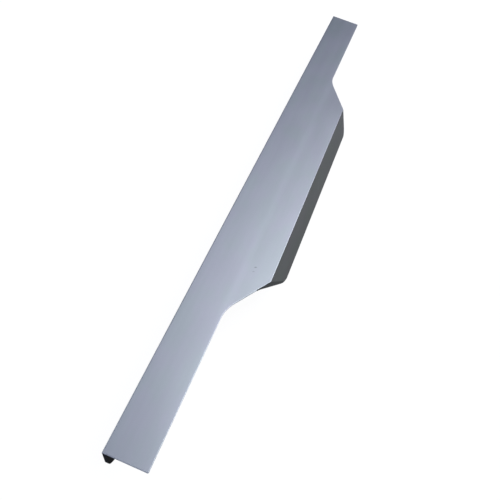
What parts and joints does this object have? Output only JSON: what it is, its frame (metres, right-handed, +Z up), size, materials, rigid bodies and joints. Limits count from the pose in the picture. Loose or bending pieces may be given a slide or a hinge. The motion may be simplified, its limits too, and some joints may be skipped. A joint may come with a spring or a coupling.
{
  "type": "edge pull",
  "caption": "Aluminium edge pull for a drawer front or door: flat plate over the board's edge, flange behind it with countersunk screw holes, and an angled finger lip along the wide middle.",
  "frame": {"origin": "middle of the screw row, on the flange face that lies against the back of the board", "axes": "+X along the pull, +Y out of the back of the flange, the way the screws are drawn out, +Z up from the flange to the plate on the board's edge; the finger lip is in front, towards -Y"},
  "size_m": [0.305, 0.0364, 0.026],
  "materials": {
    "satin_aluminium": "satin anodised, finely brushed along the length"
  },
  "bodies": {
    "root": {"edge_pull": "satin_aluminium"}
  },
  "joints": []
}
